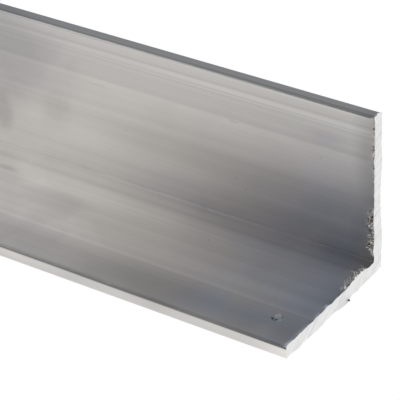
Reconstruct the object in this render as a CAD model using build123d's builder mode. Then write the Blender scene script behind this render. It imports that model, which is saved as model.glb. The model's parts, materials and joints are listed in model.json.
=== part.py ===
"""Equal-leg metal angle section: one straight cut length of extruded aluminium bar, mill finish.

The bar is a single piece. One leg lies flat on the floor and the other stands up along its
back edge, so the section is an L whose open side faces -Y and +Z.

Frame, in millimetres:
    +X  along the bar
    +Y  towards the upright leg's outer face
    +Z  up
    The origin is the middle of the bar's footprint, on the floor.
"""

import os

from build123d import *

# Driving dimensions
LENGTH = 500.0  # between the two sawn ends
FLAT_LEG = 50.0  # width of the flat leg, over the outside
UPRIGHT_LEG = 50.0  # height of the upright leg, over the outside
THICKNESS = 4.0  # of either leg
ROOT_RADIUS = 0.5  # inside corner, where the legs meet
TOE_RADIUS = 0.5  # inner edge of each leg's toe
HEEL_RADIUS = 0.3  # outside corner, where the legs meet
TOE_BACK_RADIUS = 0.2  # outer edge of each leg's toe

# Places in the section, as (Y, Z)
HEEL_Y = FLAT_LEG / 2
TOE_Y = HEEL_Y - FLAT_LEG
INNER_Y = HEEL_Y - THICKNESS

HEEL = (HEEL_Y, 0)
FLAT_TOE_BACK = (TOE_Y, 0)
FLAT_TOE_INNER = (TOE_Y, THICKNESS)
ROOT = (INNER_Y, THICKNESS)
UPRIGHT_TOE_INNER = (INNER_Y, UPRIGHT_LEG)
UPRIGHT_TOE_BACK = (HEEL_Y, UPRIGHT_LEG)

# Each rounded corner of the section, with its radius
ROUNDED_CORNERS = [
    (ROOT, ROOT_RADIUS),
    (FLAT_TOE_INNER, TOE_RADIUS),
    (UPRIGHT_TOE_INNER, TOE_RADIUS),
    (HEEL, HEEL_RADIUS),
    (FLAT_TOE_BACK, TOE_BACK_RADIUS),
    (UPRIGHT_TOE_BACK, TOE_BACK_RADIUS),
]

with BuildPart() as angle_section:
    # The die's opening, drawn on the far sawn end
    with BuildSketch(Plane.YZ.offset(-LENGTH / 2)) as section:
        with BuildLine() as outline:
            Polyline(
                HEEL,
                FLAT_TOE_BACK,
                FLAT_TOE_INNER,
                ROOT,
                UPRIGHT_TOE_INNER,
                UPRIGHT_TOE_BACK,
                close=True,
            )
        make_face()
        for corner, radius in ROUNDED_CORNERS:
            fillet(section.vertices().sort_by_distance(corner)[0], radius)
    # Both ends are sawn square
    extrude(amount=LENGTH)

angle_section.part.label = "angle_section"

os.makedirs("parts", exist_ok=True)
export_step(angle_section.part, "parts/angle_section.step")
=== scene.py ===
"""A cut length of extruded aluminium angle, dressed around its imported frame.

The file is laid out as a Blender add-on and is run as a script. Lengths are in millimetres
unless a name or a property says otherwise, and turn to metres where a mesh, a light or the
camera is made. A "run" is a distance round the section from its inside corner: positive over
the flat leg, negative over the upright leg, and about 100 at the heel either way.
"""

import json
import math
import random

import bmesh
import bpy
from bpy.props import FloatProperty, FloatVectorProperty, IntProperty, PointerProperty
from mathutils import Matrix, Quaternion, Vector, noise


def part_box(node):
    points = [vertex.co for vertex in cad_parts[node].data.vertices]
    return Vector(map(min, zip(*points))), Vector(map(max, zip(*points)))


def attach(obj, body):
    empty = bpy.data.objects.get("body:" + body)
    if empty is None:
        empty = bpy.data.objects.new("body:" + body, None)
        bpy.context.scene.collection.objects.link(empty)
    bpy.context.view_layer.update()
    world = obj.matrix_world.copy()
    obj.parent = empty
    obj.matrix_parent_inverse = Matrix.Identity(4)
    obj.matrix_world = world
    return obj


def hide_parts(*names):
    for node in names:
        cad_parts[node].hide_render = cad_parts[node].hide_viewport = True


bl_info = {
    "name": "Aluminium angle section",
    "version": (1, 0, 0),
    "blender": (4, 5, 0),
    "location": "3D View > Sidebar > Angle",
    "description": "Builds a cut length of extruded aluminium angle with sawn and burred ends",
    "category": "Mesh",
}

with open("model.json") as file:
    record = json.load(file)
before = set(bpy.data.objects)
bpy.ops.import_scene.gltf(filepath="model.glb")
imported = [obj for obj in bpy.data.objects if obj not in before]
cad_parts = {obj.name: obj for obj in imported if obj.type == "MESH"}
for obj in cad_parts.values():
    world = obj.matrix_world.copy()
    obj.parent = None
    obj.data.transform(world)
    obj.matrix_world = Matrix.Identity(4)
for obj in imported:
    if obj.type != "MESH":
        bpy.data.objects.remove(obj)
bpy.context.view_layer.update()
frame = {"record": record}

BODY = "root"
CAD_NODE = "angle_section"

MM = 0.001
LOWEST, HIGHEST = (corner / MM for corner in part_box(CAD_NODE))
MOUNT_PLACES = {m["name"]: Vector(m["pos_m"]) / MM for m in frame["record"]["mounts"]}

FAR_END_X, TOE_Y, FLOOR_Z = LOWEST
NEAR_END_X, HEEL_Y, TOP_Z = HIGHEST
WALL = MOUNT_PLACES["flat_leg_inside"].z  # height of the flat leg's inner face
INNER_Y = MOUNT_PLACES["upright_leg_inside"].y  # place of the upright leg's inner face
INNER_LEG = TOP_Z - WALL  # width of either leg's inner face
END_X = {1: NEAR_END_X, -1: FAR_END_X}

# Grid of the bar's mesh
TOE_STEPS = 6  # round each toe corner
CORNER_STEPS = 6  # round the heel and the root
LEG_STEPS = 92  # along each leg, so a step is about half a millimetre
WALL_STEPS = 8  # through the wall
END_STATIONS = (0, 0.15, 0.35, 0.6, 1.0, 1.5, 2.2, 3, 4.5, 6.5, 9, 12, 16, 20, 25)
STATION_PITCH = 6  # along the rest of the bar
SHARP_ANGLE = 35  # in degrees: an edge that turns more than this is shaded as a sharp one

# The upright leg's inner face leans back a little over its last stretch, as far as a die's
# tolerance lets the wall thin towards the toe
TAPER, TAPER_REACH = 0.3, 12

# A nick, where something has knocked the flat leg: a gouge with the metal thrown up beside it
NICK_FROM_END = 8.8
NICK_X, NICK_Y = NEAR_END_X - NICK_FROM_END, TOE_Y + 10
NICK_RUN = INNER_Y - NICK_Y
NICK_REACH = 2.4  # how far from its middle the mesh is finer
NICK_PITCH = 0.12  # and how fine
GOUGE = ((-1.3, -0.8), (0.35, -1.5), (0.7, -0.8))  # corners of its line, from the nick's middle
GOUGE_DEPTH, GOUGE_WIDTH = 0.32, 0.28
RIDGE = (0.0, 0.8)  # middle of the raised metal, from the nick's middle
RIDGE_HEIGHT, RIDGE_WIDTH = 0.16, 0.8


# ---------------------------------------------------------------- properties


def to_linear(colour):
    """A hex colour such as "b4b0ac", in sRGB, as the linear RGBA that a shader takes."""
    parts = [int(colour[i : i + 2], 16) / 255 for i in (0, 2, 4)]
    return [p / 12.92 if p <= 0.04045 else ((p + 0.055) / 1.055) ** 2.4 for p in parts] + [1.0]


class AngleSectionSettings(bpy.types.PropertyGroup):
    """Sizes and colours of the dressed section that its frame leaves open."""

    toe_radius: FloatProperty(
        name="Toe radius",
        description="Inner edge of each leg's toe",
        default=0.5 * MM,
        min=0,
        unit="LENGTH",
        precision=5,
    )
    toe_back_radius: FloatProperty(
        name="Toe back radius",
        description="Outer edge of each leg's toe",
        default=0.12 * MM,
        min=0,
        unit="LENGTH",
        precision=5,
    )
    heel_radius: FloatProperty(
        name="Heel radius",
        description="Outside corner where the legs meet",
        default=0.3 * MM,
        min=0,
        unit="LENGTH",
        precision=5,
    )
    root_radius: FloatProperty(
        name="Root radius",
        description="Inside corner where the legs meet",
        default=0.3 * MM,
        min=0,
        unit="LENGTH",
        precision=5,
    )
    saw_pitch: FloatProperty(
        name="Saw mark pitch",
        description="From one mark of the blade to the next on a sawn end",
        default=2.9 * MM,
        min=0.1 * MM,
        unit="LENGTH",
        precision=5,
    )
    edge_break: FloatProperty(
        name="Edge break",
        description="How far the saw has broken the edges of the ends away",
        default=0.3 * MM,
        min=0,
        unit="LENGTH",
        precision=5,
    )
    burr_length: FloatProperty(
        name="Burr length",
        description="Longest of the fine burrs that the saw left on the inner edges",
        default=2.4 * MM,
        min=0,
        unit="LENGTH",
        precision=5,
    )
    seed: IntProperty(name="Seed", description="Start of the random burrs", default=6, min=0)
    metal_colour: FloatVectorProperty(
        name="Metal",
        description="Clean extruded skin",
        default=to_linear("e9e6e2"),
        size=4,
        subtype="COLOR",
        min=0,
        max=1,
    )
    haze_colour: FloatVectorProperty(
        name="Haze",
        description="Skin where its oxide is a little thicker",
        default=to_linear("e9e5e6"),
        size=4,
        subtype="COLOR",
        min=0,
        max=1,
    )
    film_colour: FloatVectorProperty(
        name="Oxide film",
        description="Skin where its oxide is thickest",
        default=to_linear("d6deea"),
        size=4,
        subtype="COLOR",
        min=0,
        max=1,
    )
    sawn_colour: FloatVectorProperty(
        name="Sawn metal",
        description="Fresh metal on the ends",
        default=to_linear("f4f4f3"),
        size=4,
        subtype="COLOR",
        min=0,
        max=1,
    )
    torn_colour: FloatVectorProperty(
        name="Torn metal",
        description="Burrs torn off by the saw, where they are clean",
        default=to_linear("f8f5f0"),
        size=4,
        subtype="COLOR",
        min=0,
        max=1,
    )
    grime_and_edge_shade_colour: FloatVectorProperty(
        name="Grime",
        description="Dried cutting fluid and dust in the burrs",
        default=to_linear("4e4239"),
        size=4,
        subtype="COLOR",
        min=0,
        max=1,
    )


CLASSES = [AngleSectionSettings]


def settings():
    """The sizes and colours as the user has set them."""
    return bpy.context.scene.angle_section


# ------------------------------------------------------------------- outline


def arc(centre, radius, start, stop, steps):
    """Points (y, z) round a corner of the section, between two angles in degrees."""
    angles = [math.radians(start + (stop - start) * i / steps) for i in range(steps + 1)]
    return [(centre[0] + radius * math.cos(a), centre[1] + radius * math.sin(a)) for a in angles]


def between(start, stop, shares):
    """Points on the straight line between two others, at shares of its length."""
    return [tuple(a + (b - a) * share for a, b in zip(start, stop)) for share in shares]


def even(steps):
    """Shares that divide a line into even steps."""
    return [i / steps for i in range(1, steps)]


def refined(values, middle, reach, pitch):
    """Values in order, with closer ones in place of those within reach of a middle."""
    close = [middle - reach + pitch * i for i in range(round(2 * reach / pitch) + 1)]
    return sorted([value for value in values if abs(value - middle) > reach + pitch / 2] + close)


def join_corners(first, middle, last, taper=0.0):
    """Three corners with the two legs between them; a taper bends the end of the second leg."""
    nick = [length / INNER_LEG for length in (NICK_Y - TOE_Y, NICK_REACH, NICK_PITCH)]
    flat_leg = between(first[-1], middle[0], refined(even(LEG_STEPS), *nick))
    upright_leg = between(middle[-1], (last[0][0] - taper, last[0][1]), even(LEG_STEPS))
    bend = TOP_Z - TAPER_REACH
    upright_leg = [(y + taper * max(0, z - bend) / TAPER_REACH, z) for y, z in upright_leg]
    return first + flat_leg + middle + upright_leg + last


def outer_path():
    """The outside of the L, from the flat leg's toe round the heel to the upright leg's toe."""
    back, heel = settings().toe_back_radius / MM, settings().heel_radius / MM
    toe = arc((TOE_Y + back, FLOOR_Z + back), back, 180, 270, TOE_STEPS)
    corner = arc((HEEL_Y - heel, FLOOR_Z + heel), heel, 270, 360, CORNER_STEPS)
    top = arc((HEEL_Y - back, TOP_Z - back), back, 0, 90, TOE_STEPS)
    return join_corners(toe, corner, top)


def inner_path():
    """The inside of the L, point for point beside the outer path."""
    toe, root = settings().toe_radius / MM, settings().root_radius / MM
    flat_toe = arc((TOE_Y + toe, WALL - toe), toe, 180, 90, TOE_STEPS)
    corner = arc((INNER_Y - root, WALL + root), root, 270, 360, CORNER_STEPS)
    top = arc((INNER_Y + toe + TAPER, TOP_Z - toe), toe, 180, 90, TOE_STEPS)
    return join_corners(flat_toe, corner, top, TAPER)


class Outline:
    """The section's outline once round, as a closed ring of points."""

    def __init__(self):
        outer, inner = outer_path(), inner_path()
        through = even(WALL_STEPS)
        top_face = between(outer[-1], inner[-1], through)
        toe_face = between(inner[0], outer[0], through)
        self.points = outer + top_face + inner[::-1] + toe_face
        self.path_length = len(outer)
        self.steps = [
            math.dist(point, following)
            for point, following in zip(self.points, self.points[1:] + self.points[:1])
        ]
        self.normals = [self.normal(i) for i in range(len(self.points))]
        self.runs = self.signed_runs()

    def normal(self, i):
        """The outward direction at a point, across the line between its neighbours."""
        before, after = self.points[i - 1], self.points[(i + 1) % len(self.points)]
        along = Vector((after[0] - before[0], after[1] - before[1])).normalized()
        return along.y, -along.x

    def signed_runs(self):
        """The run of each point."""
        from_corner = [math.dist(point, (INNER_Y, WALL)) for point in self.points]
        to_root = sum(self.steps[: from_corner.index(min(from_corner))])
        half = sum(self.steps) / 2
        distances = [sum(self.steps[:i]) - to_root for i in range(len(self.points))]
        return [(distance + half) % (2 * half) - half for distance in distances]


# ----------------------------------------------------------------- materials


def add_node(tree, kind, inputs=None, **options):
    """Adds a node with its options, and a value or a link for each socket named in inputs."""
    node = tree.nodes.new(kind)
    for name, value in options.items():
        setattr(node, name, value)
    for socket, value in (inputs or {}).items():
        if isinstance(value, bpy.types.Node):
            value = value.outputs[0]
        if isinstance(value, bpy.types.NodeSocket):
            tree.links.new(value, node.inputs[socket])
        else:
            node.inputs[socket].default_value = value
    return node


def new_material(name):
    """An empty node material with its output."""
    material = bpy.data.materials.new(name)
    material.use_nodes = True
    material.node_tree.nodes.clear()
    output = add_node(material.node_tree, "ShaderNodeOutputMaterial")
    return material, material.node_tree, output.inputs["Surface"]


def streaks(tree, skin, width, length):
    """Noise that the die has drawn out along the bar, as wide and long as its streaks are."""
    scale = (1 / (width * MM), 1 / (length * MM), 1)
    place = add_node(tree, "ShaderNodeMapping", {"Vector": skin, "Scale": scale})
    texture = {"Vector": place, "Scale": 1.0, "Detail": 1.0, "Roughness": 0.5}
    return add_node(tree, "ShaderNodeTexNoise", texture, noise_dimensions="2D")


# Tone of the skin by distance from the inside corner, over each leg's inner face: bands and lines
# that wear in the die has left, with painted shade worked in, which darkens the outer part of
# each leg and draws dark lines at the toe's round edge. The last tone goes on round the toe and
# over the outer face
UPRIGHT_TONES = (
    (0, 0.9),
    (4, 0.92),
    (6, 0.85),
    (8.4, 0.89),
    (9.2, 0.92),
    (12, 0.92),
    (16, 0.87),
    (21, 0.89),
    (22.4, 0.92),
    (26, 0.9),
    (32.3, 0.93),
    # painted shade from here: the outer part of the leg darker, with die lines in it, and dark
    # lines at the toe
    (32.7, 0.82),
    (37.4, 0.81),
    (38.4, 0.87),
    (39.5, 0.79),
    (40.1, 0.89),
    (40.6, 0.82),
    (41.2, 0.93),
    (42, 0.84),
    (42.5, 0.75),
    (43, 0.82),
    (44.8, 0.89),
    (45.7, 0.98),
    (46.1, 0.82),
    (46.4, 0.66),
    (46.7, 0.6),
    (47.1, 0.87),
)
FLAT_TONES = (
    (0, 0.9),
    (4.6, 0.92),
    (5.4, 0.86),
    (6.1, 0.86),
    (6.7, 0.95),
    (8, 0.98),
    (14, 0.95),
    (17.5, 0.88),
    (20.6, 0.92),
    (22.2, 0.88),
    (25.5, 0.92),
    (30.6, 0.87),
    (31.6, 0.95),
    # painted shade from here: the outer third of the leg darker, and a dark line at the toe's
    # round edge
    (32.8, 0.8),
    (35.6, 0.77),
    (37.2, 0.71),
    (39.5, 0.71),
    (44.5, 0.79),
    (45.3, 0.78),
    (45.7, 0.66),
    (46, 0.46),
    (46.3, 0.24),
    (46.55, 0.25),
    (46.9, 0.9),
    (47.4, 0.93),
)
TONE_RAMP_REACH = 50  # the distance that the whole of a colour ramp stands for

# Width and length of the die's streaks, and how much they change the tone. Its real lines are
# about a tenth of a millimetre wide, which is too fine to show, so the finest are drawn coarser
BROAD_STREAK, BROAD_DEPTH = (4.5, 160), 0.14
FINE_STREAK, FINE_DEPTH = (1.1, 220), 0.07
SCORE, SCORE_DEPTH = (0.45, 150), 0.06
SCORED_RUN, SCORED_WIDTH = -41.0, 3.0  # middle and half width of a band of deeper scores
SCORED_DEPTH = 0.3  # in its middle

CLOUD_SIZE = 22  # of the clouds that ruffle the patches' edges
HAZE_SHARE = 0.3  # how much film gives the colour of haze
RUFFLE = 1.4  # how far the clouds make the patches' edges wander, as a share of their half sizes
PATCH_EDGE, PATCH_FULL = 1.35, 0.25  # where a patch starts and where it is full, as such shares

# Patches where the oxide film is thicker or thinner, or the skin is marked, and where painted
# shade and painted light darken or lighten it: the run, how far from the near end, half its width
# across the bar, half its length, how much film, and its tone
FILM_AND_SHADE_PATCHES = (
    # The upright leg: painted shade and painted light, darker at the near end, and oxide film
    (-34, 126, 18, 24, 0.3, 0.8),
    (-11.5, 130, 7, 4, 0.1, 0.82),
    (-17, 110, 7, 7, 0.0, 0.93),
    (-22, 102, 14, 46, 0.0, 0.95),
    (-11, 78, 4, 30, 0.0, 1.05),
    (-4, 62, 6, 18, 0.25, 1.0),
    (-26, 22, 8, 34, 0.0, 1.09),
    (-35.5, 16, 3, 7, 0.36, 0.92),
    (-3, 4, 14, 44, 0.12, 0.9),
    (-7.5, 3, 6, 5, 0.0, 0.9),
    (-33, 0, 22, 6, 0.0, 0.76),
    # A painted highlight line and a painted shade line beside its toe, and two scratches
    (-46.6, 100, 0.6, 50, 0.0, 1.25),
    (-45.8, 112, 0.7, 50, 0.0, 0.78),
    (-30.4, 93, 0.4, 4.5, 0.0, 0.92),
    (-32, 45.5, 0.25, 1.6, 0.0, 0.85),
    # The inside corner: painted shade along it, most at the near end, and a little painted light
    (1, 128, 4, 14, 0.0, 1.03),
    (1.5, 62, 2, 14, 0.0, 0.93),
    (0.12, 22, 0.35, 62, 0.0, 0.84),
    (0.12, 5, 0.35, 32, 0.0, 0.96),
    (0, 5, 3, 22, 0.0, 0.93),
    (0, 0, 13, 6, -0.6, 1.0),
    # The flat leg: painted light and painted shade, and oxide film
    (27, 118, 17, 34, 0.0, 1.18),
    (12, 105, 9, 40, 0.0, 1.07),
    (18.5, 96, 4, 12, 0.1, 0.86),
    (38, 92, 11, 30, 0.0, 1.14),
    (43, 92, 6, 26, 0.0, 1.1),
    (6, 55, 8, 30, 0.0, 0.93),
    (40, 48, 9, 24, 0.0, 0.88),
    (10, 42, 14, 20, 0.0, 0.92),
    (43, 28, 5, 10, 0.1, 1.05),
    (39, 20, 6, 18, 0.6, 1.05),
    (16, 20, 10, 9, 0.0, 0.93),
    (42, 9.5, 4.5, 4, 0.0, 1.1),
    (18, 8, 11, 13, 0.0, 1.06),
    (24, 6, 24, 24, 0.1, 1.13),
    (28, 3, 18, 13, 0.3, 1.02),
    (14, 2, 42, 46, 0.58, 1.04),
    # A smudge on it, painted shadow in the nick's gouge, and the raised metal beside it,
    # clean and with a painted highlight
    (11.7, 121.5, 1.1, 5, 0.0, 0.82),
    (NICK_RUN + 0.6, NICK_FROM_END + 1.3, 0.4, 0.7, 0.0, 0.16),
    (NICK_RUN + 0.8, NICK_FROM_END + 0.2, 0.4, 0.65, 0.0, 0.2),
    (NICK_RUN - 0.9, NICK_FROM_END + 0.5, 0.8, 1.1, -0.6, 1.4),
    # Its toe: a painted highlight and painted shade lines beside it, and less film near the end
    (46.5, 95, 0.25, 40, 0.0, 1.5),
    (48, 90, 1.6, 36, 0.0, 0.88),
    (45.95, 85, 0.45, 45, 0.0, 0.7),
    (48, 12, 1.5, 45, -0.8, 1.0),
    (46.4, 4, 0.35, 20, 0.0, 0.6),
    # The bar's far half, and its outer faces
    (-20, 300, 16, 45, 0.42, 0.92),
    (25, 380, 12, 30, 0.49, 0.9),
    (-75, 90, 16, 60, 0.49, 0.92),
    (-70, 330, 20, 50, 0.42, 1.06),
    (75, 200, 18, 70, 0.49, 0.93),
)


def die_and_shade_tone(tree, distance, tones):
    """One leg's bands, lines and painted shade, by the distance from the inside corner."""
    share = {0: distance, 1: 1 / (TONE_RAMP_REACH * MM)}
    share = add_node(tree, "ShaderNodeMath", share, operation="MULTIPLY")
    ramp = add_node(tree, "ShaderNodeValToRGB", {"Fac": share})
    stops = ramp.color_ramp.elements
    for place, _ in tones[1:-1]:
        stops.new(place / TONE_RAMP_REACH)
    stops[-1].position = tones[-1][0] / TONE_RAMP_REACH
    for stop, (place, tone) in zip(stops, tones):
        stop.color = (tone, tone, tone, 1)
    return ramp


def film_and_shade_patches(tree, skin, ruffle, tone):
    """Film at each place, and the tone with the patches' marks, painted shade and painted light.
    """
    film = 0.0
    for run, from_end, half_width, half_length, amount, shade in FILM_AND_SHADE_PATCHES:
        middle = (run * MM, (NEAR_END_X - from_end) * MM, 0)
        size = (half_width * MM, half_length * MM, 1)
        place = {"Vector": skin, "Location": middle, "Scale": size}
        place = add_node(tree, "ShaderNodeMapping", place, vector_type="TEXTURE")
        away = add_node(tree, "ShaderNodeVectorMath", {0: place}, operation="LENGTH")
        away = {0: away.outputs["Value"], 1: ruffle}
        away = add_node(tree, "ShaderNodeMath", away, operation="ADD")
        cover = {"Value": away, "From Min": PATCH_EDGE, "From Max": PATCH_FULL}
        cover = add_node(tree, "ShaderNodeMapRange", cover, interpolation_type="SMOOTHSTEP")
        film = {0: cover, 1: amount, 2: film}
        film = add_node(tree, "ShaderNodeMath", film, operation="MULTIPLY_ADD")
        share = {0: cover, 1: shade - 1, 2: 1.0}
        share = add_node(tree, "ShaderNodeMath", share, operation="MULTIPLY_ADD")
        tone = add_node(tree, "ShaderNodeMath", {0: tone, 1: share}, operation="MULTIPLY")
    return film, tone


def extruded_aluminium():
    """Mill-finish aluminium, pushed through a die and left as it came.

    The die scores it side by side along the bar, so it shines as satin does: a highlight is drawn
    out across the bar and stays fairly sharp along it. Bands a few millimetres wide and some fine
    lines differ in tone, and the oxide film makes soft grey patches. Painted shade and painted
    light are worked into the colour too: the outer part of each leg darker, dark lines at the
    toes and along the inside corner, a painted shadow in the nick, and lighter and darker
    patches.
    """
    material, tree, surface = new_material("mill_finish_aluminium_extruded")
    skin = add_node(tree, "ShaderNodeUVMap", uv_map="skin")
    run = add_node(tree, "ShaderNodeSeparateXYZ", {0: skin})
    place = add_node(tree, "ShaderNodeTexCoord").outputs["Object"]
    sizes = (FINE_STREAK, BROAD_STREAK, SCORE)
    fine, broad, score = (streaks(tree, skin, *size) for size in sizes)
    cloud = {"Vector": place, "Scale": 1 / (CLOUD_SIZE * MM), "Detail": 3.0, "Distortion": 0.5}
    cloud = add_node(tree, "ShaderNodeTexNoise", cloud)
    ruffle = {0: cloud, 1: RUFFLE, 2: -RUFFLE / 2}
    ruffle = add_node(tree, "ShaderNodeMath", ruffle, operation="MULTIPLY_ADD")

    distance = add_node(tree, "ShaderNodeMath", {0: run}, operation="ABSOLUTE")
    on_flat = add_node(tree, "ShaderNodeMath", {0: run, 1: 0.0}, operation="GREATER_THAN")
    # each leg's tone carries die bands and lines and painted shade
    upright, flat = (die_and_shade_tone(tree, distance, tones) for tones in (UPRIGHT_TONES, FLAT_TONES))
    tone = add_node(tree, "ShaderNodeMix", {0: on_flat, 2: upright, 3: flat})
    for streak, depth in ((fine, FINE_DEPTH), (broad, BROAD_DEPTH)):
        share = {0: streak, 1: depth, 2: 1 - depth / 2}
        share = add_node(tree, "ShaderNodeMath", share, operation="MULTIPLY_ADD")
        tone = add_node(tree, "ShaderNodeMath", {0: tone, 1: share}, operation="MULTIPLY")
    score = add_node(tree, "ShaderNodeMath", {0: score, 1: 0.5}, operation="SUBTRACT")
    away = add_node(tree, "ShaderNodeMath", {0: run, 1: SCORED_RUN * MM}, operation="SUBTRACT")
    away = add_node(tree, "ShaderNodeMath", {0: away}, operation="ABSOLUTE")
    depth = {
        "Value": away,
        "From Min": SCORED_WIDTH * MM,
        "From Max": 0.0,
        "To Min": SCORE_DEPTH,
        "To Max": SCORED_DEPTH,
    }
    depth = add_node(tree, "ShaderNodeMapRange", depth)
    score = add_node(tree, "ShaderNodeMath", {0: score, 1: depth}, operation="MULTIPLY")
    tone = {0: tone, 1: score, 2: tone}
    tone = add_node(tree, "ShaderNodeMath", tone, operation="MULTIPLY_ADD")
    # the patches add film, and work their painted shade and painted light into the tone
    film, tone = film_and_shade_patches(tree, skin, ruffle, tone)
    ramp = add_node(tree, "ShaderNodeValToRGB", {"Fac": film})
    stops = ramp.color_ramp.elements
    stops.new(HAZE_SHARE)
    colours = (settings().metal_colour, settings().haze_colour, settings().film_colour)
    for stop, colour in zip(stops, colours):
        stop.color = colour
    colour = add_node(tree, "ShaderNodeVectorMath", {0: ramp, "Scale": tone}, operation="SCALE")
    rough = {0: fine, 1: 0.03, 2: 0.275}
    metal = {
        "Base Color": colour,
        "Metallic": 1.0,
        "Roughness": add_node(tree, "ShaderNodeMath", rough, operation="MULTIPLY_ADD"),
        "Anisotropic": 0.8,
        "Tangent": add_node(tree, "ShaderNodeTangent", direction_type="UV_MAP", uv_map="skin"),
    }
    tree.links.new(add_node(tree, "ShaderNodeBsdfPrincipled", metal).outputs[0], surface)
    return material


SMEAR_SIZE = 3.0  # of what a tooth smears on a sawn end
SCRATCH_WIDTH = 0.8  # of the scratches along the blade's arcs, and how far a smear bends them


def sawn_aluminium():
    """The same metal cut by a toothed blade and not cleaned up.

    It is brighter than the skin and scatters more, with streaks along the blade's arcs, greyer
    where a tooth has smeared the metal, and small dark tears.
    """
    material, tree, surface = new_material("mill_finish_aluminium_sawn")
    place = add_node(tree, "ShaderNodeTexCoord").outputs["Object"]
    flat = add_node(tree, "ShaderNodeVectorMath", {0: place, 1: (0, 1, 1)}, operation="MULTIPLY")
    reach = {0: flat, 1: Vector((0, *BLADE_MIDDLE)) * MM}
    reach = add_node(tree, "ShaderNodeVectorMath", reach, operation="DISTANCE").outputs["Value"]
    smear = {"Vector": place, "Scale": 1 / (SMEAR_SIZE * MM), "Detail": 2.0, "Roughness": 0.6}
    smears = add_node(tree, "ShaderNodeTexNoise", smear)
    bent = {0: smears, 1: SCRATCH_WIDTH * MM, 2: reach}
    bent = add_node(tree, "ShaderNodeMath", bent, operation="MULTIPLY_ADD")
    scratch = {"W": bent, "Scale": 1 / (SCRATCH_WIDTH * MM), "Detail": 2.0, "Roughness": 0.6}
    scratches = add_node(tree, "ShaderNodeTexNoise", scratch, noise_dimensions="1D")
    tear = {"Value": scratches, "From Min": 0.52, "From Max": 0.72, "To Min": 1.0, "To Max": 0.8}
    tears = add_node(tree, "ShaderNodeMapRange", tear)
    tone = {0: smears, 1: 0.3, 2: 0.85}
    tone = add_node(tree, "ShaderNodeMath", tone, operation="MULTIPLY_ADD")
    tone = add_node(tree, "ShaderNodeMath", {0: tone, 1: tears}, operation="MULTIPLY")
    colour = {0: settings().sawn_colour[:3], "Scale": tone}
    rough = {0: smears, 1: 0.2, 2: 0.42}
    height = add_node(tree, "ShaderNodeMath", {0: scratches, 1: smears}, operation="ADD")
    relief = {"Height": height, "Distance": SAW_DEPTH * MM, "Strength": 1.0}
    metal = {
        "Base Color": add_node(tree, "ShaderNodeVectorMath", colour, operation="SCALE"),
        "Metallic": 1.0,
        "Roughness": add_node(tree, "ShaderNodeMath", rough, operation="MULTIPLY_ADD"),
        "Normal": add_node(tree, "ShaderNodeBump", relief),
    }
    tree.links.new(add_node(tree, "ShaderNodeBsdfPrincipled", metal).outputs[0], surface)
    return material


FLAKE_SIZE = 0.7  # of the clean and grimy places on the burrs
# Burrs are cleaner where they reach in from an end, and a little where they lie low over the
# flat leg: the distances at which that starts and is full, and how much cleaner
CLEAN_INBOARD, CLEAN_INBOARD_SHARE = (2, 4), 0.3
CLEAN_LOW, CLEAN_LOW_SHARE = (3, 1.5), 0.05
GRIT_SIZE = 0.15  # of the specks of grime


def torn_aluminium():
    """Burrs: aluminium torn off by the saw's teeth, crumpled, with cutting fluid dried in it.

    Each flake is bright where it faces the light, and brown and dull where the grime has stuck.
    """
    material, tree, surface = new_material("aluminium_torn_by_saw")
    place = add_node(tree, "ShaderNodeTexCoord").outputs["Object"]
    grain = {"Vector": place, "Scale": 1 / (FLAKE_SIZE * MM), "Detail": 2.0}
    grain = add_node(tree, "ShaderNodeTexNoise", grain)
    place = add_node(tree, "ShaderNodeSeparateXYZ", {0: place}).outputs
    from_middle = add_node(tree, "ShaderNodeMath", {0: place["X"]}, operation="ABSOLUTE")
    inboard = [(NEAR_END_X - distance) * MM for distance in CLEAN_INBOARD]
    low = [(WALL + distance) * MM for distance in CLEAN_LOW]
    for value, (start, full), share in (
        (from_middle, inboard, CLEAN_INBOARD_SHARE),
        (place["Z"], low, CLEAN_LOW_SHARE),
    ):
        clean = {"Value": value, "From Min": start, "From Max": full, "To Max": share}
        clean = add_node(tree, "ShaderNodeMapRange", clean)
        grain = add_node(tree, "ShaderNodeMath", {0: grain, 1: clean}, operation="SUBTRACT")
    dirt = {"Value": grain, "From Min": 0.51, "From Max": 0.61}
    dirt = add_node(tree, "ShaderNodeMapRange", dirt)
    colour = {0: dirt, 6: settings().torn_colour, 7: settings().grime_and_edge_shade_colour}
    metallic, rough = {0: dirt, 1: -0.5, 2: 0.8}, {0: dirt, 1: 0.45, 2: 0.22}
    torn = {
        "Base Color": add_node(tree, "ShaderNodeMix", colour, data_type="RGBA").outputs[2],
        "Metallic": add_node(tree, "ShaderNodeMath", metallic, operation="MULTIPLY_ADD"),
        "Roughness": add_node(tree, "ShaderNodeMath", rough, operation="MULTIPLY_ADD"),
    }
    tree.links.new(add_node(tree, "ShaderNodeBsdfPrincipled", torn).outputs[0], surface)
    return material


def grime():
    """Dark brown crumbs with no shine: dried cutting fluid and dust, and painted edge shade."""
    material, tree, surface = new_material("dried_grime_and_painted_edge_shade")
    place = add_node(tree, "ShaderNodeTexCoord").outputs["Object"]
    grain = {"Vector": place, "Scale": 1 / (GRIT_SIZE * MM), "Detail": 2.0}
    grain = add_node(tree, "ShaderNodeTexNoise", grain)
    tone = add_node(tree, "ShaderNodeMath", {0: grain, 1: 0.8, 2: 0.6}, operation="MULTIPLY_ADD")
    colour = {0: settings().grime_and_edge_shade_colour[:3], "Scale": tone}
    colour = add_node(tree, "ShaderNodeVectorMath", colour, operation="SCALE")
    crumb = add_node(tree, "ShaderNodeBsdfPrincipled", {"Base Color": colour, "Roughness": 0.8})
    tree.links.new(crumb.outputs[0], surface)
    return material


# ------------------------------------------------------------------- the bar

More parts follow.
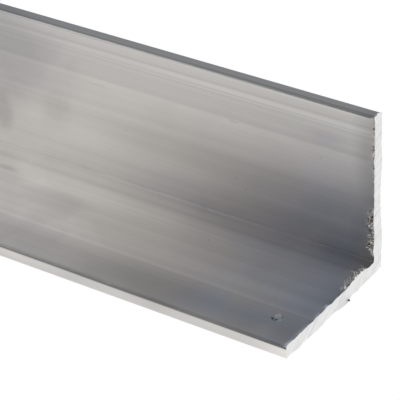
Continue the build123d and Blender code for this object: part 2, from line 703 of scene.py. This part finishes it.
BLADE_MIDDLE = (80, -135)  # (y, z) of the middle of the saw's blade as it cut the ends
SAW_DEPTH = 0.05  # of the blade's marks
TEAR_DEPTH = 0.04  # of the small tears between them
WAVE_WIDTH, WAVE_LENGTH = 9, 150  # size of the slow waves that the die left in the skin
WAVE_HEIGHT = 0.02
WEAR_REACH = 1.2  # how far in from an end the saw wore its edges down
OUTER_WEAR, LEAST_OUTER_WEAR = 0.3, 0.1  # how much of that the outer edges have, and the least

# Where the saw broke the outline of an end away, or threw it up as a lip where the depth is
# below zero: run, half its width and depth
END_CHIPS = {
    1: (
        (99.2, 1.5, 0.8),
        (31, 17, -0.08),
        (42.5, 4.5, -0.25),
        (8.2, 5.5, -1.2),
        (51.5, 1.8, 0.3),
        (-3.8, 2, -0.35),
        (-9.2, 1.2, 0.3),
        (-14.2, 3.6, -0.35),
        (-35, 1.2, 0.3),
        (-38.4, 0.6, 0.25),
        (-47.4, 2.4, -0.9),
        (-58.5, 1, 0.3),
        (-64.5, 4, -0.3),
        (-76, 8.5, 0.6),
        (-89.5, 4, -0.35),
    ),
    -1: ((60, 3, 0.4), (20, 12, -0.4), (-30, 9, -0.3)),
}
# Where the blade pushed a lip out past an end as it left the bar: run, half its width and reach
END_LIPS = {
    1: ((78.6, 4.5, 0.75), (65, 5.5, 0.2), (55.3, 2, 0.2), (86, 1.5, 0.15)),
    -1: ((-64, 9, 0.5), (70, 6, 0.3)),
}


def stations():
    """Places along the bar, close together near its sawn ends and at the nick."""
    near = [NEAR_END_X - distance for distance in END_STATIONS]
    far = [FAR_END_X + distance for distance in END_STATIONS]
    count = round((near[-1] - far[-1]) / STATION_PITCH)
    middle = [far[-1] + (near[-1] - far[-1]) * share for share in even(count)]
    return refined(far + middle + near, NICK_X, NICK_REACH, NICK_PITCH)


# In what follows, a noise call's bare last number only picks another stretch of the noise


def die_relief(run, x):
    """How far the skin stands out at a place round the outline and along the bar."""
    return noise.noise((run / WAVE_WIDTH, x / WAVE_LENGTH, 3.1)) * WAVE_HEIGHT


def off_line(place, start, stop):
    """How far a place in the plane is from the line between two others."""
    place, start, stop = Vector(place), Vector(start), Vector(stop)
    along = stop - start
    share = min(1, max(0, (place - start).dot(along) / along.length_squared))
    return (place - start - along * share).length


def nick_relief(x, y):
    """How far the flat leg's skin stands out round the nick."""
    place = (x - NICK_X, y - NICK_Y)
    if max(abs(place[0]), abs(place[1])) > NICK_REACH:
        return 0.0
    away = min(off_line(place, start, stop) for start, stop in zip(GOUGE, GOUGE[1:]))
    gouge = GOUGE_DEPTH * math.exp(-((away / GOUGE_WIDTH) ** 2))
    crumple = 0.5 + 1.4 * noise.noise((x / 0.35, y / 0.35, 2.5))
    ridge = RIDGE_HEIGHT * math.exp(-((math.dist(place, RIDGE) / RIDGE_WIDTH) ** 2)) * crumple
    return ridge - gouge


def end_wear(run, distance, end):
    """How far the outline is pulled in beside a sawn end, where the saw broke its edge."""
    if distance >= WEAR_REACH:
        return 0.0
    broken = 0.25 + 0.9 * noise.noise((run / 2.6, end * 5.3, 1.9))
    broken += 0.5 * noise.noise((run / 0.8, end, 4.2))
    if abs(run) > INNER_LEG:
        broken = max(OUTER_WEAR * broken, LEAST_OUTER_WEAR)
    depth = broken * settings().edge_break / MM
    for chip_run, half_width, chip_depth in END_CHIPS[end]:
        away = abs(run - chip_run) / half_width
        if away < 1:
            depth += chip_depth * (1 - away**2) * (1 + 0.6 * noise.noise((run / 0.6, end, 8.8)))
    return depth * (1 - distance / WEAR_REACH) ** 2


def saw_marks(y, z, end):
    """How far the sawn face lies inside the end's plane."""
    reach = math.dist((y, z), BLADE_MIDDLE) + 1.6 * noise.noise((y / 7, z / 7, end))
    marks = 0.5 + 0.5 * math.sin(2 * math.pi * reach / (settings().saw_pitch / MM) + end)
    marks *= max(0, 0.5 + 1.2 * noise.noise((y / 2.5, z / 2.5, 3.3 * end)))
    tears = 0.5 + 0.5 * noise.noise((y / 0.9, z / 0.9, end))
    return SAW_DEPTH * marks + TEAR_DEPTH * tears


def exit_lip(run, end):
    """How far the outline of an end stands out past the end's plane."""
    lip = 0.0
    for lip_run, half_width, reach in END_LIPS[end]:
        away = abs(run - lip_run) / half_width
        if away < 1:
            lip += reach * (1 - away**2) * (1 + 0.5 * noise.noise((run / 0.9, end, 6.1)))
    return lip


class ANGLE_OT_bar(bpy.types.Operator):
    """Builds the extruded bar with its sawn ends"""

    bl_idname = "angle.bar"
    bl_label = "Extruded bar"

    def execute(self, context):
        outline = Outline()
        mesh = bmesh.new()
        skin_map = mesh.loops.layers.uv.new("skin")
        places = stations()
        rows = [self.row(mesh, outline, x) for x in places]
        self.skin(mesh, skin_map, outline, places, rows)
        self.cap(mesh, skin_map, outline, rows[0], -1)
        self.cap(mesh, skin_map, outline, rows[-1], 1)
        bmesh.ops.recalc_face_normals(mesh, faces=mesh.faces)
        data = bpy.data.meshes.new("extruded_bar")
        mesh.to_mesh(data)
        mesh.free()
        data.materials.append(extruded_aluminium())
        data.materials.append(sawn_aluminium())
        data.set_sharp_from_angle(angle=math.radians(SHARP_ANGLE))
        bar = bpy.data.objects.new("extruded_bar", data)
        context.scene.collection.objects.link(bar)
        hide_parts(CAD_NODE)
        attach(bar, BODY)
        return {"FINISHED"}

    @staticmethod
    def row(mesh, outline, x):
        """The outline's vertices at one station."""
        end = 1 if x > 0 else -1
        distance = abs(END_X[end] - x)
        row = []
        for (y, z), (out_y, out_z), run in zip(outline.points, outline.normals, outline.runs):
            offset = die_relief(run, x) - end_wear(run, distance, end)
            if 0 < run < INNER_LEG:
                offset += nick_relief(x, y)
            at_x = x
            if distance == 0:
                at_x += end * (exit_lip(run, end) - saw_marks(y, z, end))
            place = Vector((at_x, y + out_y * offset, z + out_z * offset))
            row.append(mesh.verts.new(place * MM))
        return row

    @staticmethod
    def skin(mesh, skin_map, outline, places, rows):
        """Joins the stations, and maps each face by its run and its place along the bar."""
        count = len(outline.points)
        for before, after, x_before, x_after in zip(rows, rows[1:], places, places[1:]):
            for i in range(count):
                j = (i + 1) % count
                face = mesh.faces.new((before[i], before[j], after[j], after[i]))
                face.smooth = True
                run = outline.runs[i]
                beyond = run + outline.steps[i]
                corners = ((run, x_before), (beyond, x_before), (beyond, x_after), (run, x_after))
                for loop, corner in zip(face.loops, corners):
                    loop[skin_map].uv = Vector(corner) * MM

    @staticmethod
    def cap(mesh, skin_map, outline, row, end):
        """Closes an end with a grid from the outer path to the inner one."""
        count = outline.path_length
        top = count + WALL_STEPS - 1
        outer, top_face = row[:count], row[count:top]
        inner, toe_face = row[top : top + count][::-1], row[top + count :][::-1]
        shares = even(WALL_STEPS)
        columns = []
        for i, (first, last) in enumerate(zip(outer, inner)):
            if i == 0:
                middle = toe_face
            elif i == count - 1:
                middle = top_face
            else:
                middle = []
                lip = exit_lip(outline.runs[i], end)
                across = between(first.co.yz / MM, last.co.yz / MM, shares)
                for (y, z), share in zip(across, shares):
                    x = END_X[end] + end * (lip * (1 - share) ** 2 - saw_marks(y, z, end))
                    middle.append(mesh.verts.new(Vector((x, y, z)) * MM))
            columns.append([first, *middle, last])
        for here, there in zip(columns, columns[1:]):
            for i in range(WALL_STEPS):
                face = mesh.faces.new((here[i], there[i], there[i + 1], here[i + 1]))
                face.smooth = True
                face.material_index = 1
                for loop in face.loops:
                    loop[skin_map].uv = loop.vert.co.yz


CLASSES.append(ANGLE_OT_bar)


# ----------------------------------------------------------------- the burrs

BURR_SPREAD = 1.6  # how far in from an end its burrs stand at most
FRINGE_SPREAD = 0.2  # those of a fringe right at the edge
# Where burrs hang on each end's inner edges: the leg, the stretch from the inside corner, how
# many there are, how long they are beside the longest, and how far in from the end they stand.
# Those at the nick lie round its raised metal, and its stretch counts for nothing
BURR_STRETCHES = {
    1: (
        ("upright", 10.5, 17.0, 130, 0.9, BURR_SPREAD),
        ("upright", 3.6, 9.6, 120, 0.9, BURR_SPREAD),
        ("flat", 3.0, 17.0, 200, 0.75, BURR_SPREAD),
        ("flat", 4.5, 15.5, 150, 0.45, FRINGE_SPREAD),
        ("upright", 18, 45, 50, 0.18, BURR_SPREAD),
        ("flat", 17, 45, 50, 0.14, BURR_SPREAD),
        ("upright", 31, 41, 9, 0.2, BURR_SPREAD),
        ("nick", 0, 1, 40, 0.3, BURR_SPREAD),
    ),
    -1: (
        ("upright", 20, 31, 90, 0.8, BURR_SPREAD),
        ("flat", 9, 15, 60, 0.9, BURR_SPREAD),
        ("flat", 28, 38, 70, 0.7, BURR_SPREAD),
        ("upright", 2, 44, 60, 0.18, BURR_SPREAD),
        ("flat", 2, 44, 60, 0.18, BURR_SPREAD),
    ),
}
# Larger curls: the leg, how far from the inside corner, length, width, turn in degrees, and how
# far they lean back over the bar and along the edge
BURR_CURLS = {
    1: (
        ("upright", 4.6, 3.6, 0.9, -40, 0.45, 0.5),
        ("upright", 5.6, 2.6, 0.6, 90, 0.2, 0.7),
        ("upright", 9.7, 2.0, 0.6, 120, 0.5, 0.5),
        ("upright", 13.2, 2.4, 0.6, 60, 0.2, 0.5),
        ("flat", 9.2, 2.6, 0.7, 100, 0.3, -0.3),
        ("flat", 8.0, 2.2, 0.6, 190, 0.6, 0.3),
        ("flat", 15.5, 1.8, 0.6, 190, 0.5, 0.1),
    ),
    -1: (("upright", 25, 2.8, 0.7, 170, 0.5, 0.2), ("flat", 33, 2.4, 0.6, 200, 0.4, -0.3)),
}
BURR_STEPS = 7  # along each burr
BURR_ROOT = 0.15  # how deep a burr's foot sits in the bar
BURR_BULK = 2.5  # short burrs are slimmer too, in this proportion
CRUMB_SHARE = 0.4  # how many burrs have a crumb beside them
# The least and the most of a burr's width and thickness, of its turn in degrees from foot to tip,
# of how far it leans back over the bar and along the edge, and of a crumb's size
BURR_WIDTH, BURR_THICKNESS = (0.12, 0.32), (0.05, 0.1)
BURR_TURN, BURR_LEAN, BURR_SLANT = (-60, 230), (-0.7, 0.4), (-0.7, 0.7)
BURR_CRUMB = (0.15, 0.4)


class Burrs:
    """A mesh of torn strips and crumbs along one end's inner edges."""

    def __init__(self, end):
        self.end = end
        self.mesh = bmesh.new()
        self.random = random.Random(f"{settings().seed} {end}")
        self.reach = settings().burr_length / MM

    def foot(self, leg, distance, spread):
        """A place on an inner edge, and the directions off the metal and along the edge."""
        up, outwards = Vector((0, 0, 1)), Vector((0, -1, 0))
        from_end = self.random.triangular(0.02, spread, spread / 8)
        x = END_X[self.end] - self.end * from_end
        if leg == "nick":
            x, y = NICK_X + self.random.uniform(-0.7, 0.7), NICK_Y + self.random.uniform(0.1, 1.6)
            return Vector((x, y, WALL - BURR_ROOT)), up, outwards
        run = distance if leg == "flat" else -distance
        sunk = BURR_ROOT + end_wear(run, from_end, self.end)
        if leg == "upright":
            return Vector((x, INNER_Y + sunk, WALL + distance)), outwards, up
        return Vector((x, INNER_Y - distance, WALL - sunk)), up, outwards

    def strip(self, leg, distance, length, width, turn, lean, slant, spread=BURR_SPREAD):
        """Adds a closed strip that tapers and curls.

        Its lean is back over the bar, and its slant is along the edge.
        """
        place, off, along = self.foot(leg, distance, spread)
        back = Vector((-self.end, 0, 0))
        heading = (off + back * lean + along * slant).normalized()
        side = heading.cross(back + along * self.random.uniform(-0.9, 0.9)).normalized()
        curl = Quaternion(side, math.radians(turn / BURR_STEPS))
        twist = self.random.uniform(-0.35, 0.35)
        thickness = self.random.uniform(*BURR_THICKNESS)
        rings = []
        for i in range(BURR_STEPS):
            share = i / BURR_STEPS
            half = width / 2 * (1 - share**2) * self.random.uniform(0.75, 1.15)
            face = heading.cross(side).normalized() * thickness / 2
            edge = side * half
            corners = (edge, face, -edge, -face)
            rings.append([self.mesh.verts.new((place + corner) * MM) for corner in corners])
            place = place + heading * (length / BURR_STEPS)
            heading = (curl @ heading).normalized()
            side = (Quaternion(heading, twist) @ side).normalized()
        tip = self.mesh.verts.new(place * MM)
        self.mesh.faces.new(rings[0][::-1])
        for here, there in zip(rings, rings[1:]):
            for i in range(4):
                j = (i + 1) % 4
                self.mesh.faces.new((here[i], here[j], there[j], there[i]))
        for i in range(4):
            self.mesh.faces.new((rings[-1][i], rings[-1][(i + 1) % 4], tip))

    def crumb(self, leg, distance, size, spread):
        """Adds a torn lump stuck to the edge."""
        place, off, _ = self.foot(leg, distance, spread)
        place += off * (BURR_ROOT + size * 0.3)
        torn_lump(self.mesh, place, size, self.random)

    def build(self):
        """Adds every burr of the end."""
        for leg, start, stop, count, share, spread in BURR_STRETCHES[self.end]:
            bulk = min(1, share * BURR_BULK)
            for _ in range(count):
                distance = self.random.triangular(start, stop)
                length = self.reach * share * self.random.uniform(0.25, 1.0) + BURR_ROOT
                width = self.random.uniform(*BURR_WIDTH) * bulk
                turn = self.random.uniform(*BURR_TURN)
                lean = self.random.uniform(*BURR_LEAN) + spread / 2
                slant = self.random.uniform(*BURR_SLANT)
                self.strip(leg, distance, length, width, turn, lean, slant, spread)
                if self.random.random() < CRUMB_SHARE:
                    self.crumb(leg, distance, self.random.uniform(*BURR_CRUMB) * bulk, spread)
        for curl in BURR_CURLS[self.end]:
            self.strip(*curl)
        bmesh.ops.recalc_face_normals(self.mesh, faces=self.mesh.faces)
        return self.mesh


def torn_lump(mesh, place, size, rng):
    """Adds an uneven closed lump, longer one way than the others."""
    made = bmesh.ops.create_icosphere(mesh, subdivisions=1, radius=1.0)["verts"]
    stretch = Vector([rng.uniform(0.5, 1.3) for _ in range(3)]) * size / 2
    turn = Quaternion([rng.uniform(-1, 1) for _ in range(4)]).normalized()
    for vert in made:
        rough = rng.uniform(0.7, 1.2)
        vert.co = (place + turn @ (vert.co * stretch * rough)) * MM


def add_piece(context, name, mesh, material):
    """Makes an object of a finished mesh and lets it ride on the bar's body."""
    data = bpy.data.meshes.new(name)
    mesh.to_mesh(data)
    mesh.free()
    data.materials.append(material)
    piece = bpy.data.objects.new(name, data)
    context.scene.collection.objects.link(piece)
    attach(piece, BODY)


class ANGLE_OT_burrs(bpy.types.Operator):
    """Hangs the saw's burrs on the inner edges of both ends"""

    bl_idname = "angle.burrs"
    bl_label = "Burrs"

    def execute(self, context):
        material = torn_aluminium()
        for end, name in ((1, "saw_burrs_near"), (-1, "saw_burrs_far")):
            mesh = Burrs(end).build()
            add_piece(context, name, mesh, material)
        return {"FINISHED"}


CLASSES.append(ANGLE_OT_burrs)


# ----------------------------------------------------------------- the grime and painted edge shade

# Specks of grime stuck to the inner faces, and at last dark lumps in the upright leg's sawn edge,
# painted shade along that broken edge: the leg, how far from the near end, how far from the
# inside corner and their size
SPECKS = (
    ("upright", 45.3, 13.5, 0.24),
    ("upright", 42.0, 10.5, 0.28),
    ("upright", 16.9, 28.8, 0.26),
    ("upright", 83.1, 17.8, 0.24),
    ("flat", 45.9, 13.9, 0.36),
    ("flat", 131.0, 25.0, 0.36),
    ("upright", 310, 22, 0.4),
    ("flat", 402, 30, 0.4),
    ("flat", 265, 9, 0.3),
    # dark lumps as painted shade along the upright leg's sawn edge
    ("upright", 0.25, 42.8, 0.6),
    ("upright", 0.2, 37.3, 0.5),
    ("upright", 0.2, 36.5, 0.4),
    ("upright", 0.25, 33.7, 0.55),
    ("upright", 0.2, 30.4, 0.45),
    ("upright", 0.2, 27.1, 0.35),
)
# A crumb that clings to the near end's lower edge
CRUMB_PLACE, CRUMB_SIZE = (NEAR_END_X + 0.6, 6.4, FLOOR_Z + 0.2), 0.6


class ANGLE_OT_specks(bpy.types.Operator):
    """Scatters the dirt that the stock has picked up, and painted shade at a sawn edge"""

    bl_idname = "angle.specks"
    bl_label = "Specks"

    def execute(self, context):
        mesh = bmesh.new()
        rng = random.Random(settings().seed)
        for leg, from_end, distance, size in SPECKS:
            x = NEAR_END_X - from_end
            if leg == "upright":
                place = Vector((x, INNER_Y, WALL + distance))
            else:
                place = Vector((x, INNER_Y - distance, WALL))
            torn_lump(mesh, place, size, rng)
        torn_lump(mesh, Vector(CRUMB_PLACE), CRUMB_SIZE, rng)
        bmesh.ops.recalc_face_normals(mesh, faces=mesh.faces)
        add_piece(context, "grime_specks_and_painted_edge_shade", mesh, grime())
        return {"FINISHED"}


CLASSES.append(ANGLE_OT_specks)


# ----------------------------------------------------------------- the stage

CAMERA_PLACE = (498.73, -412.97, 342.79)
CAMERA_AIM = (191.80, 21.0, 5.89)
CAMERA_ROLL = 2.69  # degrees, to the right
CAMERA_LENS = 194.93  # on a 36 mm sensor
SENSOR = 36

FLOOR_REACH = 6000
FLOOR_DROP = 0.2  # below the bar, so that the two never share a plane
FLOOR_GLOW = 0.97  # how white the camera and the metal see the floor, apart from its shadow
# The metal sees this much less of that white in front of the bar and short of its near end, a
# painted shadow of the bar on the floor that only the metal sees. The loss comes in from a first
# place to a second, in y and in x
FRONT_LOSS = 0.2
LOSS_Y, LOSS_X = (60, -30), (NEAR_END_X, NEAR_END_X - 10)
WHITE = to_linear("ffffff")
SHADOW_GREY = to_linear("616161")  # of the floor, where a shadow can take it away
MATT_GREY = to_linear("e7e7e7")  # of the floor, as soft light finds it

# Softboxes: name, direction from the lit place in degrees (0 is the front, turning to the
# right), height in degrees, distance, width, height and brightness, where 1 is white
SOFTBOXES = (
    ("softbox_left", -50, 33, 600, 200, 350, 1.31),
    ("softbox_top", 60, 60, 1200, 1200, 1200, 0.35),
)
LIT_PLACE = (200, 0, 20)  # what the softboxes point at

BACKDROP_TOP = (2.5, 6)  # degrees above the floor where the pale backdrop starts to fade and ends
ROOM_DARK = to_linear("303539")  # the studio to the front right of the bar
ROOM_LIGHT = to_linear("95989d")  # and to its left and behind it
ROOM_LIGHT_SIDE = (-0.7, 0.7, 0)  # the way to the lighter side
ROOM_FADE = (-0.6, 0.8)  # where the light side starts and where it is full, along that way


class ANGLE_OT_studio(bpy.types.Operator):
    """Sets the floor, the lights and the camera"""

    bl_idname = "angle.studio"
    bl_label = "Studio"

    def execute(self, context):
        self.camera(context)
        self.floor(context)
        self.softboxes(context)
        self.room(context)
        context.scene.view_settings.view_transform = "Standard"
        return {"FINISHED"}

    @staticmethod
    def camera(context):
        """A long lens at the front right, looking down into the angle."""
        data = bpy.data.cameras.new("camera")
        data.lens, data.sensor_width = CAMERA_LENS, SENSOR
        camera = bpy.data.objects.new("camera", data)
        place, aim = Vector(CAMERA_PLACE), Vector(CAMERA_AIM)
        level = (aim - place).to_track_quat("-Z", "Y")
        camera.rotation_mode = "QUATERNION"
        camera.rotation_quaternion = level @ Quaternion((0, 0, 1), math.radians(-CAMERA_ROLL))
        camera.location = place * MM
        context.scene.collection.objects.link(camera)
        context.scene.camera = camera

    @staticmethod
    def floor(context):
        """A white floor that keeps a faint shadow, with a painted shadow that only metal sees."""
        mesh = bmesh.new()
        bmesh.ops.create_grid(mesh, x_segments=8, y_segments=8, size=FLOOR_REACH * MM)
        data = bpy.data.meshes.new("floor")
        mesh.to_mesh(data)
        mesh.free()
        floor = bpy.data.objects.new("floor", data)
        floor.location.z = (FLOOR_Z - FLOOR_DROP) * MM
        context.scene.collection.objects.link(floor)
        material, tree, surface = new_material("studio_floor")
        path = add_node(tree, "ShaderNodeLightPath").outputs
        place = add_node(tree, "ShaderNodeTexCoord").outputs["Object"]
        place = add_node(tree, "ShaderNodeSeparateXYZ", {0: place}).outputs
        # painted shadow: glossy rays see less white in front of the bar and short of its near end
        loss = path["Is Glossy Ray"]
        for value, (start, full), most in (
            (place["Y"], LOSS_Y, FRONT_LOSS),
            (place["X"], LOSS_X, 1.0),
        ):
            fade = {"Value": value, "From Min": start * MM, "From Max": full * MM, "To Max": most}
            fade = add_node(tree, "ShaderNodeMapRange", fade)
            loss = add_node(tree, "ShaderNodeMath", {0: loss, 1: fade}, operation="MULTIPLY")
        strength = {0: FLOOR_GLOW, 1: loss}
        strength = add_node(tree, "ShaderNodeMath", strength, operation="SUBTRACT")
        white = add_node(tree, "ShaderNodeEmission", {"Color": WHITE, "Strength": strength})
        faint = add_node(tree, "ShaderNodeBsdfDiffuse", {"Color": SHADOW_GREY})
        matt = add_node(tree, "ShaderNodeBsdfDiffuse", {"Color": MATT_GREY})
        shown = add_node(tree, "ShaderNodeAddShader", {0: white, 1: faint})
        rays = {0: path["Is Camera Ray"], 1: path["Is Glossy Ray"]}
        seen = add_node(tree, "ShaderNodeMath", rays, operation="MAXIMUM")
        mix = {0: seen, 1: matt, 2: shown}
        tree.links.new(add_node(tree, "ShaderNodeMixShader", mix).outputs[0], surface)
        data.materials.append(material)

    @staticmethod
    def softboxes(context):
        """Soft lights, each facing the bar."""
        for name, turn, rise, distance, width, height, brightness in SOFTBOXES:
            turn, rise = math.radians(turn), math.radians(rise)
            way = Vector((math.sin(turn), -math.cos(turn), math.tan(rise))) * math.cos(rise)
            data = bpy.data.lights.new(name, "AREA")
            data.shape = "RECTANGLE"
            data.size, data.size_y = width * MM, height * MM
            data.energy = brightness * math.pi * data.size * data.size_y
            box = bpy.data.objects.new(name, data)
            box.location = (Vector(LIT_PLACE) + way * distance) * MM
            box.rotation_euler = (-way).to_track_quat("-Z", "Y").to_euler()
            box.visible_camera = False
            context.scene.collection.objects.link(box)

    @staticmethod
    def room(context):
        """A pale backdrop low down and a dim room above it, lighter to the left and behind."""
        world = bpy.data.worlds.new("studio")
        world.use_nodes = True
        context.scene.world = world
        tree = world.node_tree
        tree.nodes.clear()
        way = add_node(tree, "ShaderNodeTexCoord").outputs["Generated"]
        rise = add_node(tree, "ShaderNodeSeparateXYZ", {0: way}).outputs["Z"]
        low, high = (math.sin(math.radians(angle)) for angle in BACKDROP_TOP)
        above = {"Value": rise, "From Min": low, "From Max": high}
        above = add_node(tree, "ShaderNodeMapRange", above, interpolation_type="SMOOTHSTEP")
        start, full = ROOM_FADE
        lit_side = {0: way, 1: ROOM_LIGHT_SIDE}
        lit_side = add_node(tree, "ShaderNodeVectorMath", lit_side, operation="DOT_PRODUCT")
        lit = {"Value": lit_side.outputs["Value"], "From Min": start, "From Max": full}
        lit = add_node(tree, "ShaderNodeMapRange", lit, interpolation_type="SMOOTHSTEP")
        room = {0: lit, 6: ROOM_DARK, 7: ROOM_LIGHT}
        room = add_node(tree, "ShaderNodeMix", room, data_type="RGBA").outputs[2]
        sky = {0: above, 6: WHITE, 7: room}
        sky = add_node(tree, "ShaderNodeMix", sky, data_type="RGBA").outputs[2]
        light = add_node(tree, "ShaderNodeBackground", {0: sky})
        output = add_node(tree, "ShaderNodeOutputWorld")
        tree.links.new(light.outputs[0], output.inputs["Surface"])


CLASSES.append(ANGLE_OT_studio)


# ------------------------------------------------------------------ the tools


class ANGLE_PT_tools(bpy.types.Panel):
    """Lists the section's settings and its tools"""

    bl_label = "Aluminium angle"
    bl_space_type = "VIEW_3D"
    bl_region_type = "UI"
    bl_category = "Angle"

    def draw(self, context):
        for name in AngleSectionSettings.__annotations__:
            self.layout.prop(context.scene.angle_section, name)
        for tool in (ANGLE_OT_bar, ANGLE_OT_burrs, ANGLE_OT_specks, ANGLE_OT_studio):
            self.layout.operator(tool.bl_idname)


CLASSES.append(ANGLE_PT_tools)


def register():
    """Adds the tools and their settings to Blender."""
    for cls in CLASSES:
        bpy.utils.register_class(cls)
    bpy.types.Scene.angle_section = PointerProperty(type=AngleSectionSettings)


def unregister():
    """Takes them out again."""
    del bpy.types.Scene.angle_section
    for cls in reversed(CLASSES):
        bpy.utils.unregister_class(cls)


def main():
    """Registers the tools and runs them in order."""
    register()
    bpy.ops.angle.bar()
    bpy.ops.angle.burrs()
    bpy.ops.angle.specks()
    bpy.ops.angle.studio()


if __name__ == "__main__":
    main()
